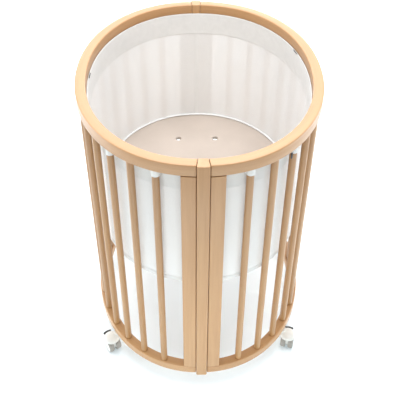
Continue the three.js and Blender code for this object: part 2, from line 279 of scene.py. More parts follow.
def rounded(corners, radii, steps=4):
    """A closed outline with each corner turned on its radius."""
    corners = np.array(corners, float)
    outline = []
    for before, corner, after, radius in zip(
        np.roll(corners, 1, 0), corners, np.roll(corners, -1, 0), radii
    ):
        a = (before - corner) / np.linalg.norm(before - corner)
        b = (after - corner) / np.linalg.norm(after - corner)
        half = math.acos(np.clip(a @ b, -1, 1)) / 2
        middle = (a + b) / np.linalg.norm(a + b)
        centre = corner + middle * radius / math.sin(half)
        start = corner + a * radius / math.tan(half) - centre
        end = corner + b * radius / math.tan(half) - centre
        for t in np.linspace(0, 1, steps + 1):
            spoke = start * (1 - t) + end * t
            outline.append(centre + spoke / np.linalg.norm(spoke) * radius)
    return np.array(outline)


def inset(outline, amount):
    """A closed outline moved inwards by amount."""
    along = np.roll(outline, -1, 0) - np.roll(outline, 1, 0)
    inward = np.stack([-along[:, 1], along[:, 0]], axis=1)
    inward /= np.linalg.norm(inward, axis=1)[:, None]
    after = np.roll(outline, -1, 0)
    turn = np.sum(outline[:, 0] * after[:, 1] - outline[:, 1] * after[:, 0])
    return outline + inward * amount * np.sign(turn)


def eased_ends(bottom, top, ease, steps=4):
    """(height, inset) pairs that round off both ends of an upright piece."""
    turn = np.linspace(math.pi / 2, 0, steps + 1)
    lower = [(bottom + ease * (1 - math.cos(t)), ease * (1 - math.sin(t))) for t in reversed(turn)]
    upper = [(bottom + top - z, amount) for z, amount in reversed(lower)]
    return lower + upper


def upright(outline, bottom, top, ease):
    """Rings of an outline stood up from bottom to top with rounded ends."""
    return [
        np.column_stack([inset(outline, amount), np.full(len(outline), z)])
        for z, amount in eased_ends(bottom, top, ease)
    ]


def circle(radius, segments, centre=(0, 0)):
    """Points round a circle."""
    turn = np.linspace(0, 2 * math.pi, segments, endpoint=False)
    return np.column_stack([centre[0] + radius * np.cos(turn), centre[1] + radius * np.sin(turn)])


def lathe(profile, segments=64, ripple=None):
    """Vertices and faces of (radius, height) pairs turned about Z, from axis to axis or as a closed ring.

    ripple(angle, radius) gives how far the skin dips inwards there.
    """
    turn = np.linspace(0, 2 * math.pi, segments, endpoint=False)
    spokes = np.column_stack([np.cos(turn), np.sin(turn)])
    rings = []
    for radius, height in profile:
        dip = ripple(turn, radius) if ripple else 0
        reach = np.full(segments, max(radius, 1e-6)) - dip
        rings.append(np.column_stack([spokes * reach[:, None], np.full(segments, height)]))
    return loft(rings, closed=profile[0][0] > 0)


def placed(part, matrix):
    """(vertices, faces) moved by a matrix."""
    verts, faces = part
    matrix = np.array(matrix)
    return np.asarray(verts) @ matrix[:3, :3].T + matrix[:3, 3], faces


def round_the_oval(section, steps=420):
    """A closed section of (offset, height) points swept all the way round, with its run."""
    section = np.asarray(section)
    size = len(section)
    rings, run = [], []
    for arc in np.linspace(HALF_ARC, 3 * HALF_ARC, steps, endpoint=False):
        rings.append(np.column_stack([on_oval(np.full(size, arc), section[:, 0]), section[:, 1]]))
        run.append(np.column_stack([np.full(size, arc), section[:, 1], section[:, 0]]))
    verts, faces = loft(rings, closed=True)
    return verts, faces, np.concatenate(run)


# Material building
def new_material(name):
    """A material with its nodes, links and main shader."""
    material = bpy.data.materials.new(name)
    material.use_nodes = True
    nodes = material.node_tree.nodes
    return material, nodes, material.node_tree.links, nodes["Principled BSDF"]


def plug(links, value, socket):
    """Sets a socket to a number or colour, or links another socket to it."""
    if isinstance(value, bpy.types.NodeSocket):
        links.new(value, socket)
    else:
        socket.default_value = value


def noise(nodes, links, vector, scale, detail=3, roughness=0.55):
    """A noise texture over a vector."""
    node = nodes.new("ShaderNodeTexNoise")
    node.inputs["Scale"].default_value = scale
    node.inputs["Detail"].default_value = detail
    node.inputs["Roughness"].default_value = roughness
    links.new(vector, node.inputs["Vector"])
    return node.outputs["Fac"]


def scaled(nodes, links, vector, scale):
    """A vector stretched, so that noise over it runs along one way."""
    node = nodes.new("ShaderNodeMapping")
    node.inputs["Scale"].default_value = scale
    links.new(vector, node.inputs["Vector"])
    return node.outputs["Vector"]


def ramp(nodes, links, factor, *stops):
    """A colour ramp through (position, colour) stops."""
    node = nodes.new("ShaderNodeValToRGB")
    elements = node.color_ramp.elements
    for element, (position, colour) in zip(elements, stops):
        element.position = position
        element.color = (*colour, 1)
    links.new(factor, node.inputs["Fac"])
    return node.outputs["Color"]


def mixed(nodes, links, kind, factor, first, second):
    """Two colours blended."""
    node = nodes.new("ShaderNodeMix")
    node.data_type = "RGBA"
    node.blend_type = kind
    plug(links, factor, node.inputs["Factor"])
    plug(links, first, node.inputs[6])
    plug(links, second, node.inputs[7])
    return node.outputs[2]


def bump(nodes, links, height, strength, distance):
    """A surface normal from a height."""
    node = nodes.new("ShaderNodeBump")
    node.inputs["Strength"].default_value = strength
    node.inputs["Distance"].default_value = distance
    links.new(height, node.inputs["Height"])
    return node.outputs["Normal"]


def run_of(nodes):
    """The place along the grain or cloth that make_object stored: (along, across, through)."""
    node = nodes.new("ShaderNodeAttribute")
    node.attribute_name = "run"
    return node.outputs["Vector"]


def object_place(nodes):
    """The place on the object itself."""
    return nodes.new("ShaderNodeTexCoord").outputs["Object"]


def maths(nodes, links, operation, *values):
    """One sum on numbers or sockets."""
    node = nodes.new("ShaderNodeMath")
    node.operation = operation
    for value, socket in zip(values, node.inputs):
        plug(links, value, socket)
    return node.outputs["Value"]


def remapped(nodes, links, value, low, high, to_low, to_high):
    """A value moved from one range to another, clamped to it."""
    node = nodes.new("ShaderNodeMapRange")
    links.new(value, node.inputs["Value"])
    for name, number in (("From Min", low), ("From Max", high), ("To Min", to_low), ("To Max", to_high)):
        node.inputs[name].default_value = number
    return node.outputs["Result"]


def split(nodes, links, vector):
    """A vector's three parts."""
    node = nodes.new("ShaderNodeSeparateXYZ")
    links.new(vector, node.inputs["Vector"])
    return node.outputs


# Materials
def beech_material(name, light, dark):
    """Pale lacquered beech: slow tone, long streaks, fibres and the short dark flecks beech has, and
    painted shade in its crevices and seams.
    """
    material, nodes, links, shader = new_material(name)
    grain = run_of(nodes)
    tone = noise(nodes, links, scaled(nodes, links, grain, (0.9, 7, 7)), 1, 2)
    streaks = noise(nodes, links, scaled(nodes, links, grain, (2.5, 75, 75)), 1, 4, 0.6)
    fibres = noise(nodes, links, scaled(nodes, links, grain, (16, 900, 900)), 1, 3, 0.6)
    flecks = noise(nodes, links, scaled(nodes, links, grain, (260, 1700, 1700)), 1, 1, 0.4)
    base = ramp(nodes, links, tone, (0.3, dark), (0.7, light))
    darker = ramp(nodes, links, streaks, (0.32, (0.80, 0.74, 0.67)), (0.62, (1, 1, 1)))
    colour = mixed(nodes, links, "MULTIPLY", 0.5, base, darker)
    fine = ramp(nodes, links, fibres, (0.3, (0.86, 0.82, 0.78)), (0.7, (1.0, 1.0, 1.0)))
    colour = mixed(nodes, links, "MULTIPLY", 0.5, colour, fine)
    fleck = remapped(nodes, links, flecks, 0.66, 0.74, 0, 0.35)
    colour = mixed(nodes, links, "MULTIPLY", fleck, colour, (0.62, 0.42, 0.28, 1))
    # Painted shade: ambient occlusion darkens the wood in crevices, in the seams beside the posts and
    # where the slats meet the rails.
    painted_crevice_shade = nodes.new("ShaderNodeAmbientOcclusion")
    painted_crevice_shade.inputs["Distance"].default_value = 4 * MM
    painted_crevice_shade.samples = 8
    seam = ramp(nodes, links, painted_crevice_shade.outputs["AO"], (0.2, (0.34, 0.22, 0.14)), (0.72, (1, 1, 1)))
    colour = mixed(nodes, links, "MULTIPLY", 1, colour, seam)
    links.new(colour, shader.inputs["Base Color"])
    links.new(remapped(nodes, links, streaks, 0.3, 0.7, 0.55, 0.42), shader.inputs["Roughness"])
    links.new(bump(nodes, links, fibres, 0.12, 0.0004), shader.inputs["Normal"])
    shader.inputs["Coat Weight"].default_value = 0.4
    shader.inputs["Coat Roughness"].default_value = 0.32
    return material


def board_material():
    """Beige lacquered board: cloudy tone, fine speckle and a faint orange-peel surface."""
    material, nodes, links, shader = new_material("base_board")
    place = object_place(nodes)
    cloud = noise(nodes, links, place, 9, 4, 0.6)
    speckle = noise(nodes, links, place, 1400, 2, 0.5)
    base = ramp(nodes, links, cloud, (0.35, (0.465, 0.395, 0.338)), (0.65, (0.505, 0.43, 0.37)))
    spots = ramp(nodes, links, speckle, (0.35, (0.90, 0.88, 0.86)), (0.6, (1, 1, 1)))
    links.new(mixed(nodes, links, "MULTIPLY", 0.5, base, spots), shader.inputs["Base Color"])
    links.new(remapped(nodes, links, cloud, 0.3, 0.7, 0.5, 0.6), shader.inputs["Roughness"])
    peel = noise(nodes, links, place, 420, 2)
    links.new(bump(nodes, links, peel, 0.06, 0.0006), shader.inputs["Normal"])
    shader.inputs["Coat Weight"].default_value = 0.5
    shader.inputs["Coat Roughness"].default_value = 0.28
    return material


def mesh_material():
    """Knitted mesh: rows of small holes with threads between them, and some light let through."""
    material, nodes, links, shader = new_material("liner_mesh")
    run = run_of(nodes)
    along, height, _ = split(nodes, links, run)
    row = maths(nodes, links, "DIVIDE", height, MESH_PITCH * math.sqrt(0.75))
    shift = maths(nodes, links, "MULTIPLY", maths(nodes, links, "FLOOR", row), 0.5)
    column = maths(nodes, links, "ADD", maths(nodes, links, "DIVIDE", along, MESH_PITCH), shift)
    across = maths(nodes, links, "SUBTRACT", maths(nodes, links, "FRACT", column), 0.5)
    up = maths(nodes, links, "SUBTRACT", maths(nodes, links, "FRACT", row), 0.5)
    squares = (maths(nodes, links, "MULTIPLY", value, value) for value in (across, up))
    from_middle = maths(nodes, links, "SQRT", maths(nodes, links, "ADD", *squares))
    thread = remapped(nodes, links, from_middle, HOLE_SHARE - HOLE_BLUR, HOLE_SHARE + HOLE_BLUR, 0, 1)
    knit = noise(nodes, links, scaled(nodes, links, run, (2200, 900, 900)), 1, 2)
    soft = noise(nodes, links, scaled(nodes, links, run, (5, 4, 4)), 1, 3)
    tone = ramp(nodes, links, soft, (0.3, (0.80, 0.785, 0.765)), (0.7, (0.83, 0.815, 0.795)))
    loops = ramp(nodes, links, knit, (0.3, (0.88, 0.88, 0.88)), (0.7, (1, 1, 1)))
    colour = mixed(nodes, links, "MULTIPLY", 0.6, tone, loops)
    links.new(colour, shader.inputs["Base Color"])
    shader.inputs["Roughness"].default_value = 0.9
    shader.inputs["Sheen Weight"].default_value = 0.25
    shader.inputs["Sheen Roughness"].default_value = 0.5
    links.new(bump(nodes, links, knit, 0.3, 0.0003), shader.inputs["Normal"])
    through = nodes.new("ShaderNodeBsdfTranslucent")
    links.new(colour, through.inputs["Color"])
    cloth = nodes.new("ShaderNodeMixShader")
    cloth.inputs["Fac"].default_value = 0.02
    links.new(shader.outputs["BSDF"], cloth.inputs[1])
    links.new(through.outputs["BSDF"], cloth.inputs[2])
    holes = nodes.new("ShaderNodeBsdfTransparent")
    sheet = nodes.new("ShaderNodeMixShader")
    links.new(thread, sheet.inputs["Fac"])
    links.new(holes.outputs["BSDF"], sheet.inputs[1])
    links.new(cloth.outputs["Shader"], sheet.inputs[2])
    links.new(sheet.outputs["Shader"], nodes["Material Output"].inputs["Surface"])
    return material


def woven_material(name, colour, thread_pitch, depth):
    """Plain-woven cloth: over and under threads as bump and shade, with a soft sheen."""
    material, nodes, links, shader = new_material(name)
    run = run_of(nodes)
    along, height, _ = split(nodes, links, run)
    rate = math.pi / thread_pitch
    warp = maths(nodes, links, "SINE", maths(nodes, links, "MULTIPLY", along, rate))
    weft = maths(nodes, links, "SINE", maths(nodes, links, "MULTIPLY", height, rate))
    weave = maths(nodes, links, "MULTIPLY", warp, weft)
    soft = noise(nodes, links, run, 60, 3)
    tone = ramp(nodes, links, soft, (0.3, tuple(0.95 * c for c in colour)), (0.7, colour))
    shade = ramp(nodes, links, weave, (0.0, (0.9, 0.9, 0.89)), (0.6, (1, 1, 1)))
    links.new(mixed(nodes, links, "MULTIPLY", 0.7, tone, shade), shader.inputs["Base Color"])
    links.new(remapped(nodes, links, soft, 0.3, 0.7, 0.95, 0.82), shader.inputs["Roughness"])
    shader.inputs["Sheen Weight"].default_value = 0.2
    shader.inputs["Sheen Roughness"].default_value = 0.45
    links.new(bump(nodes, links, weave, 0.5, depth), shader.inputs["Normal"])
    return material


def plastic_material(name, colour, rough, texture_scale=1800):
    """Moulded plastic: a faint flow tone and a fine spark-eroded grain."""
    material, nodes, links, shader = new_material(name)
    place = object_place(nodes)
    flow = noise(nodes, links, place, 45, 3)
    grain = noise(nodes, links, place, texture_scale, 2)
    dim = tuple(0.93 * c for c in colour)
    links.new(ramp(nodes, links, flow, (0.3, dim), (0.7, colour)), shader.inputs["Base Color"])
    roughness = remapped(nodes, links, flow, 0.3, 0.7, rough + 0.06, rough - 0.04)
    links.new(roughness, shader.inputs["Roughness"])
    links.new(bump(nodes, links, grain, 0.12, 0.0002), shader.inputs["Normal"])
    return material


def steel_material():
    """Satin folded steel: fine brushing and a little tarnish."""
    material, nodes, links, shader = new_material("satin_steel")
    place = object_place(nodes)
    brushing = noise(nodes, links, scaled(nodes, links, place, (60, 60, 2400)), 1, 3)
    cloud = noise(nodes, links, place, 30, 3)
    tone = ramp(nodes, links, cloud, (0.3, (0.52, 0.53, 0.54)), (0.7, (0.62, 0.63, 0.64)))
    links.new(tone, shader.inputs["Base Color"])
    shader.inputs["Metallic"].default_value = 0.9
    links.new(remapped(nodes, links, brushing, 0.3, 0.7, 0.3, 0.48), shader.inputs["Roughness"])
    links.new(bump(nodes, links, brushing, 0.1, 0.0002), shader.inputs["Normal"])
    return material


BEECH = beech_material("beech", (0.505, 0.285, 0.124), (0.458, 0.244, 0.097))
# The slats get a darker copy of the beech: painted shade, for the shade they stand in below the top rail.
SHADED_SLAT_BEECH = beech_material("slat_beech_painted_shade", (0.435, 0.24, 0.098), (0.39, 0.207, 0.079))
BOARD = board_material()
MESH_CLOTH = mesh_material()
HEM_CLOTH = woven_material("hem_cloth", (0.82, 0.81, 0.79), 0.55 * MM, 0.0002)
PIPING_CLOTH = woven_material("piping_cloth", (0.90, 0.90, 0.895), 0.7 * MM, 0.00025)
THREAD = woven_material("sewing_thread", (0.80, 0.795, 0.785), 0.3 * MM, 0.0001)
WHITE_PLASTIC = plastic_material("white_plastic", (0.74, 0.72, 0.67), 0.4)
SIDE_PLASTIC = plastic_material("wheel_side_plastic", (0.88, 0.86, 0.82), 0.4)
TREAD_RUBBER = plastic_material("tread_rubber", (0.36, 0.335, 0.30), 0.75, 900)
DARK_PLASTIC = plastic_material("dark_plastic", (0.035, 0.032, 0.03), 0.45)
STEEL = steel_material()


# Half frames and posts
def keystone_edge(offset):
    """Half the width of the post at an offset from the rails' middle line."""
    share = (offset + HALF_RAIL) / RAIL_THICKNESS
    return (POST_BACK_WIDTH + (POST_FACE_WIDTH - POST_BACK_WIDTH) * share) / 2


def upright_run(verts, shift, lift=0.0):
    """Grain that runs up a piece. shift and lift give each piece its own stretch of the wood."""
    verts = np.asarray(verts)
    return np.column_stack([verts[:, 2] + shift, verts[:, 0] + lift, verts[:, 1]])


def rail_rings(side, low, high, steps=120):
    """Rings and runs of a half-oval rail with rounded edges, cut to the posts' sides at its ends."""
    section = rounded(
        [(-HALF_RAIL, low), (HALF_RAIL, low), (HALF_RAIL, high), (-HALF_RAIL, high)], [RAIL_EDGE] * 4
    )
    offsets = np.linspace(-HALF_RAIL, HALF_RAIL, 9)
    starts = [arc_at_x(keystone_edge(offset) + JOINT_GAP, offset) for offset in offsets]
    turn = np.linspace(math.pi / 2, 0, 5)
    near = [(SEAM_EASE * (1 - math.cos(t)), SEAM_EASE * (1 - math.sin(t)), 0) for t in reversed(turn)]
    between = [(SEAM_EASE, 0, t) for t in np.linspace(0, 1, steps + 1)[1:-1]]
    far = [(advance, amount, 1) for advance, amount, _ in reversed(near)]
    rings, run = [], []
    for advance, amount, t in near + between + far:
        shape = inset(section, amount)
        begin = np.interp(shape[:, 0], offsets, starts) + advance
        arcs = begin + (HALF_ARC - 2 * begin) * t
        xy = on_oval(arcs, shape[:, 0]) * (side, 1)
        rings.append(np.column_stack([xy, shape[:, 1]]))
        run.append(np.column_stack([arcs, shape]))
    return rings, np.concatenate(run)


def add_rails():
    """The top and bottom rail of each half frame."""
    for side, side_name in ((-1, "left"), (1, "right")):
        for level, (low, high), lift in (("top", TOP_RAIL, 3.1), ("bottom", BOTTOM_RAIL, 8.7)):
            node = f"{level}_rail_{side_name}"
            rings, run = rail_rings(side, low, high)
            verts, faces = loft(rings)
            rail = make_object(f"{node}_wood", verts, faces, BEECH, run=run + (side * 5.3, 0, lift))
            finish_piece(rail, "crib_frame", "beech", node)


def stile_outline(side, end):
    """The section of a stile, its faces bent to the oval."""
    near = [arc_at_x(keystone_edge(o) + JOINT_GAP, o) for o in (HALF_RAIL, -HALF_RAIL)]
    far = [arc_at_x(STILE_EDGE, o) for o in (HALF_RAIL, -HALF_RAIL)]
    corners = [on_oval(near[0], HALF_RAIL), on_oval(far[0], HALF_RAIL)]
    corners += [on_oval(far[1], -HALF_RAIL), on_oval(near[1], -HALF_RAIL)]
    turned = rounded(corners, [STILE_CORNER] * 4)
    margin = 2 * STILE_CORNER
    outer = on_oval(np.linspace(near[0] + margin, far[0] - margin, 8), HALF_RAIL)
    inner = on_oval(np.linspace(far[1] - margin, near[1] + margin, 8), -HALF_RAIL)
    outline = np.concatenate([turned[0:5], outer, turned[5:15], inner, turned[15:20]])
    return outline * (side, -end)


def add_stiles():
    """The flat uprights on both sides of each post."""
    bottom, top = BOTTOM_RAIL[1] + JOINT_GAP, TOP_RAIL[0] - JOINT_GAP
    for side, side_name in ((-1, "left"), (1, "right")):
        for end, end_name in ((-1, "front"), (1, "rear")):
            node = f"stile_{end_name}_{side_name}"
            verts, faces = loft(upright(stile_outline(side, end), bottom, top, SEAM_EASE))
            run = upright_run(verts, side * 11 + end * 3)
            stile = make_object(f"{node}_wood", verts, faces, BEECH, run=run)
            finish_piece(stile, "crib_frame", "beech", node)


def add_slats():
    """The round slats of both half frames."""
    bottom, top = BOTTOM_RAIL[1] + SLAT_CLEARANCE, TOP_RAIL[0] - SLAT_CLEARANCE
    for side, side_name in ((-1, "left"), (1, "right")):
        for i, (x, y) in enumerate(on_oval(slat_arcs())):
            node = f"slat_{side_name}_{i + 1:02d}"
            outline = circle(SLAT_RADIUS, 40, (side * x, y))
            verts, faces = loft(upright(outline, bottom, top, 0.5 * MM))
            run = upright_run(verts, side * (20 + 2.37 * i), 0.6 * i)
            slat = make_object(f"{node}_wood", verts, faces, SHADED_SLAT_BEECH, run=run)
            finish_piece(slat, "crib_frame", "beech", node)


def add_posts():
    """The keystone posts, wide towards the outside."""
    out_y, in_y = MIDDLE_Y + HALF_RAIL + POST_PROUD, MIDDLE_Y - HALF_RAIL
    half, back = POST_FACE_WIDTH / 2, POST_BACK_WIDTH / 2
    for end, name in ((-1, "front"), (1, "rear")):
        node = f"post_{name}"
        left = [(-back, in_y), (-half, out_y - POST_PROUD), (-half, out_y)]
        right = [(half, out_y), (half, out_y - POST_PROUD), (back, in_y)]
        outline = rounded(np.array(left + right) * (1, end), POST_CORNERS)
        verts, faces = loft(upright(outline, *POST, POST_EASE))
        post = make_object(f"{node}_wood", verts, faces, BEECH, run=upright_run(verts, end * 31))
        finish_piece(post, "crib_frame", "beech", node)


# Base
def add_base():
    """The board as a filled outline with rounded edges, and four vent holes through it."""
    curve = bpy.data.curves.new("mattress_base_board", "CURVE")
    curve.dimensions = "2D"
    curve.fill_mode = "BOTH"
    curve.extrude = (BASE[1] - BASE[0]) / 2 - BASE_EASE
    curve.bevel_depth = BASE_EASE
    curve.bevel_resolution = 2
    curve.offset = -BASE_EASE
    vents = [(x, y) for x in (-VENT_X, VENT_X) for y in (-VENT_Y, VENT_Y)]
    outlines = [on_oval(np.linspace(0, 2 * HALF_ARC, 240, endpoint=False), np.full(240, BASE_EDGE))]
    outlines += [circle(VENT_RADIUS, 40, vent) for vent in vents]
    for outline in outlines:
        spline = curve.splines.new("POLY")
        spline.points.add(len(outline) - 1)
        for point, (x, y) in zip(spline.points, outline):
            point.co = (x, y, 0, 1)
        spline.use_cyclic_u = True
    shape = bpy.data.objects.new("base_outline", curve)
    bpy.context.scene.collection.objects.link(shape)
    bpy.context.view_layer.update()
    mesh = bpy.data.meshes.new_from_object(shape.evaluated_get(bpy.context.evaluated_depsgraph_get()))
    bpy.data.objects.remove(shape)
    mesh.transform(Matrix.Translation((0, 0, sum(BASE) / 2)))
    mesh.shade_smooth()
    mesh.set_sharp_from_angle(angle=math.radians(SMOOTH_ANGLE))
    mesh.materials.clear()
    mesh.materials.append(BOARD)
    board = bpy.data.objects.new("mattress_base_board", mesh)
    bpy.context.scene.collection.objects.link(board)
    finish_piece(board, "crib_frame", "base_board", "mattress_base")


# Liner
def liner_ripple(arc, height):
    """How far the hung mesh stands off its line: slack waves that die out at the hems."""
    turn = 2 * math.pi * arc / (2 * HALF_ARC)
    low, high = LINER[0] + BOTTOM_HEM, LINER[1] - TOP_HEM
    share = np.clip((height - low) / (high - low), 0, 1)
    waves = 0.5 * np.sin(14 * turn + 4 * share) + 0.3 * np.sin(23 * turn - 5 * share + 1)
    return LINER_WAVE * np.sin(math.pi * share) * (waves + 0.2 * np.sin(41 * turn + 7 * share))


def add_liner_sheet():
    """The mesh sleeve: one cloth with its ends sewn together at the rear."""
    columns, rows = 480, 36
    arcs = np.linspace(HALF_ARC, 3 * HALF_ARC, columns, endpoint=False)
    verts, run, faces = [], [], []
    for height in np.linspace(LINER[0] + SHEET_MARGIN, LINER[1] - SHEET_MARGIN, rows):
        offset = LINER_OFFSET + liner_ripple(arcs, height)
        verts.append(np.column_stack([on_oval(arcs, offset), np.full(columns, height)]))
        run.append(np.column_stack([arcs, np.full(columns, height), np.zeros(columns)]))
    for i in range(rows - 1):
        for j in range(columns):
            k = (j + 1) % columns
            faces.append(tuple(row * columns + c for row, c in ((i, j), (i, k), (i + 1, k), (i + 1, j))))
    sheet = make_object(
        "liner_mesh_sheet", np.concatenate(verts), faces, MESH_CLOTH, 180, np.concatenate(run)
    )
    return finish_piece(sheet, "crib_frame", "mesh_fabric", "fabric_liner")


def add_hem(name, low, high):
    """A folded band sewn round the sleeve, a little thicker at its folded edges."""
    half = [(low, 0.5), (low + HEM_EASE, 1), (low + HEM_EDGE, 1)]
    half += [(high - HEM_EDGE, 1), (high - HEM_EASE, 1), (high, 0.5)]
    outer = [(LINER_OFFSET + HEM_FOLD * share, z) for z, share in half]
    inner = [(LINER_OFFSET - HEM_FOLD * share, z) for z, share in reversed(half)]
    verts, faces, run = round_the_oval(outer + inner)
    band = make_object(name, verts, faces, HEM_CLOTH, 60, run)
    return finish_piece(band, "crib_frame", "mesh_fabric")


def add_rear_seam():
    """The flat-felled seam where the sleeve's two ends meet, at the middle of the rear."""
    half = REAR_SEAM / 2
    corners = [(-half, -HEM_HALF), (half, -HEM_HALF), (half, HEM_HALF), (-half, HEM_HALF)]
    section = rounded(corners, [REAR_SEAM_CORNER] * 4)
    rings, run = [], []
    for height in np.linspace(LINER[0] + BOTTOM_HEM, LINER[1] - TOP_HEM, 40):
        pull = liner_ripple(np.full(len(section), HALF_ARC), height)
        xy = on_oval(HALF_ARC + section[:, 0], LINER_OFFSET + pull + section[:, 1])
        rings.append(np.column_stack([xy, np.full(len(section), height)]))
        run.append(np.column_stack([section[:, 0], np.full(len(section), height), section[:, 1]]))
    verts, faces = loft(rings)
    seam = make_object("liner_rear_seam", verts, faces, HEM_CLOTH, 60, np.concatenate(run))
    return finish_piece(seam, "crib_frame", "mesh_fabric")


def add_stitches(name, height, face):
    """A row of stitches round the sleeve. face is 1 on its outer side and -1 on its inner side."""
    count = round(2 * HALF_ARC / STITCH_PITCH)
    lift = LINER_OFFSET + face * (HEM_FOLD + 0.3 * STITCH_RADIUS)
    ring_shape = circle(1, STITCH_SIDES)
    parts, run = [], []
    for arc in np.linspace(0, 2 * HALF_ARC, count, endpoint=False):
        rings = []
        for t, swell in ((-1, 0.3), (-0.7, 0.9), (0.7, 0.9), (1, 0.3)):
            ring = ring_shape * STITCH_RADIUS * swell
            arcs = np.full(STITCH_SIDES, arc + t * STITCH_LENGTH / 2)
            heights = height + ring[:, 1]
            rings.append(np.column_stack([on_oval(arcs, lift + ring[:, 0]), heights]))
            run.append(np.column_stack([arcs, heights, ring[:, 0]]))
        parts.append(loft(rings))
    verts, faces = merge(parts)
    row = make_object(name, verts, faces, THREAD, 60, np.concatenate(run))
    return finish_piece(row, "crib_frame", "mesh_fabric")


def add_piping():
    """The corded edge sewn to the sleeve just above the base."""
    offset = LINER_OFFSET - HEM_FOLD - PIPING_RADIUS
    height = BASE[1] + PIPING_RADIUS + PIPING_LIFT
    cord = circle(PIPING_RADIUS, 16, (offset, height))
    verts, faces, run = round_the_oval(cord)
    piping = make_object("liner_piping", verts, faces, PIPING_CLOTH, 60, run)
    return finish_piece(piping, "crib_frame", "mesh_fabric")


def strap_path(reach):
    """Half a strap's section from above, at this distance from the slat's middle: (along, outward)."""
    turn = np.linspace(0, math.pi, 25)
    straight = np.linspace(LINER_OFFSET + HEM_HALF, 0, 6)[:-1]
    right = [(reach, outward) for outward in straight]
    left = [(-reach, outward) for outward in reversed(straight)]
    return right + [(reach * math.cos(t), reach * math.sin(t)) for t in turn] + left


def add_strap(side, side_name, number, arc):
    """A cloth loop from the sleeve's top hem round the head of a slat."""
    top = TOP_RAIL[0] - STRAP_DROP
    middle = SLAT_RADIUS + STRAP_PLAY + STRAP_HALF
    section = strap_path(middle + STRAP_HALF) + strap_path(middle - STRAP_HALF)[::-1]
    centre = on_oval(arc)
    outward = outward_at(*centre)
    ahead = np.array([-outward[1], outward[0]])
    outline = np.array([centre + ahead * along + outward * out for along, out in section])
    rings = upright(outline * (side, 1), top - STRAP_HEIGHT, top, STRAP_EASE)
    verts, faces = loft(rings)
    path = np.cumsum(np.linalg.norm(np.diff(outline, axis=0, prepend=outline[:1]), axis=1))
    run = np.column_stack([np.tile(path, len(rings)), verts[:, 2], np.zeros(len(verts))])
    strap = make_object(f"liner_strap_{side_name}_{number:02d}", verts, faces, HEM_CLOTH, 60, run)
    return finish_piece(strap, "crib_frame", "mesh_fabric")


def add_straps():
    """The straps of both sides."""
    arcs = slat_arcs()
    return [
        add_strap(side, side_name, i + 1, arcs[i])
        for side, side_name in ((-1, "left"), (1, "right"))
        for i in STRAP_SLATS
    ]


def add_dark_block(name, arc, height, offset, size):
    """A small dark rounded block standing out from the oval: size is along, up and out."""
    along, up, out = size
    corners = [(-along / 2, -up / 2), (along / 2, -up / 2), (along / 2, up / 2), (-along / 2, up / 2)]
    section = rounded(corners, [0.45 * min(along, up)] * 4)
    rings = []
    for level, amount in eased_ends(0, out, DARK_BLOCK_EASE):
        shape = inset(section, amount)
        rings.append(np.column_stack([on_oval(arc + shape[:, 0], offset + level), height + shape[:, 1]]))
    dark_block = make_object(name, *loft(rings), DARK_PLASTIC)
    return finish_piece(dark_block, "crib_frame", "dark_plastic")


def add_dark_blocks():
    """One dark block beside the right side's second strap, and one on each side at the sleeve's top edge:
    painted shade, standing for the shadow in the gap between the top rail and the sleeve.
    """
    beside = slat_arcs()[STRAP_MARK_SLAT] - SLAT_RADIUS - 0.7 * STRAP_MARK[0]
    height = TOP_RAIL[0] - 1.3 * STRAP_HEIGHT
    dark_blocks = [add_dark_block("strap_dark_mark_outside", beside, height, 0.3 * SLAT_RADIUS, STRAP_MARK)]
    # Painted shade: dark blocks at the sleeve's top edge, for the shadow in the gap between the top rail
    # and the sleeve.
    edge = LINER[1] - RAIL_GAP_SHADE[1] / 2
    depth = LINER_OFFSET - RAIL_GAP_SHADE_DEPTH
    for side_name, slat, short_of in RAIL_GAP_SHADE_PLACES:
        arc = slat_arcs()[slat] - short_of
        if side_name == "left":
            arc = 2 * HALF_ARC - arc
        dark_blocks.append(add_dark_block(f"rail_gap_painted_shade_{side_name}", arc, edge, depth, RAIL_GAP_SHADE))
    return dark_blocks


def add_liner():
    """The hung sheet and everything sewn to it."""
    sheet = add_liner_sheet()
    bottom, top = LINER
    hem_line = top - TOP_HEM
    pieces = [
        add_hem("liner_top_hem", hem_line, top),
        add_hem("liner_bottom_hem", bottom, bottom + BOTTOM_HEM),
        add_rear_seam(),
        add_stitches("liner_top_stitches_inside", hem_line + STITCH_INSET, -1),
        add_stitches("liner_top_stitches_outside", hem_line + STITCH_INSET, 1),
        add_stitches("liner_bottom_stitches", bottom + BOTTOM_HEM - STITCH_INSET, 1),
        add_piping(),
    ]
    pieces += add_straps() + add_dark_blocks()


# Casters
def cap_profile():
    """The cap from the middle of its recess, round the rim and over the dome to a shallow ring on top."""
    recess_radius, recess_depth = CAP_RECESS
    profile = [
        (0, CAP_BOTTOM + recess_depth), (recess_radius, CAP_BOTTOM + recess_depth),
        (recess_radius, CAP_BOTTOM + CAP_RECESS_EASE), (recess_radius + CAP_RECESS_EASE, CAP_BOTTOM),
        (CAP_RADIUS - CAP_EASE, CAP_BOTTOM), (CAP_RADIUS, CAP_BOTTOM + CAP_EASE),
    ]
    for t in np.linspace(0, math.pi / 2, 28)[1:]:
        radius = CAP_RADIUS * math.cos(t) ** 0.8
        from_groove = (radius - CAP_GROOVE_RADIUS) / CAP_GROOVE_HALF
        groove = CAP_GROOVE_DEPTH * math.exp(-(from_groove**2))
        rise = CAP_RISE * (CAP_RIM_SHARE + (1 - CAP_RIM_SHARE) * math.sin(t) ** 0.9)
        profile.append((radius, CAP_BOTTOM + rise - groove))
    profile[-1] = (0, profile[-1][1])
    return profile


